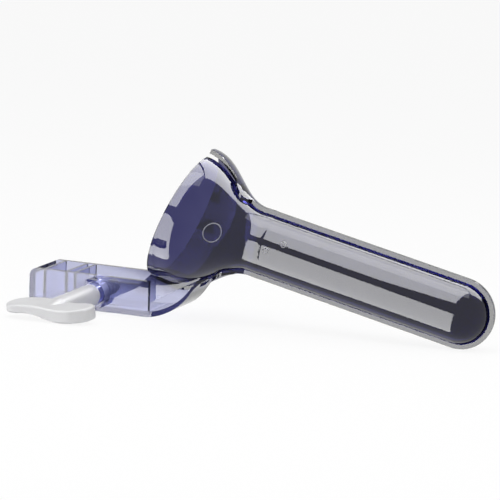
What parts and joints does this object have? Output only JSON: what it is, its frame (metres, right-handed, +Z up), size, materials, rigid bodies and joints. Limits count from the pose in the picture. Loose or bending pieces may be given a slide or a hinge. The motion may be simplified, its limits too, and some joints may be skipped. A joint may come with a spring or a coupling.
{
  "type": "disposable vaginal speculum",
  "caption": "Clear bivalve speculum with nested blades, a flared funnel and a side frame whose white wing screw swings one blade open.",
  "frame": {"origin": "centre of the footprint, on the surface that the part lies on", "axes": "+X along the closed blades towards their tip, +Z up as the part lies on its side, -Y towards the wing of the screw"},
  "size_m": [0.1936, 0.0812, 0.0686],
  "materials": {
    "clear_plastic": "clear, glossy",
    "white_plastic": "gloss"
  },
  "bodies": {
    "lower_valve": {"lower_valve": "clear_plastic"},
    "upper_valve": {"upper_valve": "clear_plastic"},
    "wing_screw": {"wing_screw": "white_plastic"}
  },
  "joints": [
    {"name": "screw_spin", "type": "hinge", "parent": "lower_valve", "child": "wing_screw", "pos_m": [-0.06732, 0.01953, 0.00837], "axis": [-0.0203, -0.9959, -0.0887], "range_deg": [0, 1400]},
    {"name": "valve_opening", "type": "hinge", "parent": "lower_valve", "child": "upper_valve", "pos_m": [-0.01275, 0.01595, 0.03602], "axis": [-0.2225, 0.091, -0.9707], "range_deg": [0, 14]}
  ],
  "couplings": [
    {"joint": "valve_opening", "follows": "screw_spin", "ratio": 0.01}
  ]
}
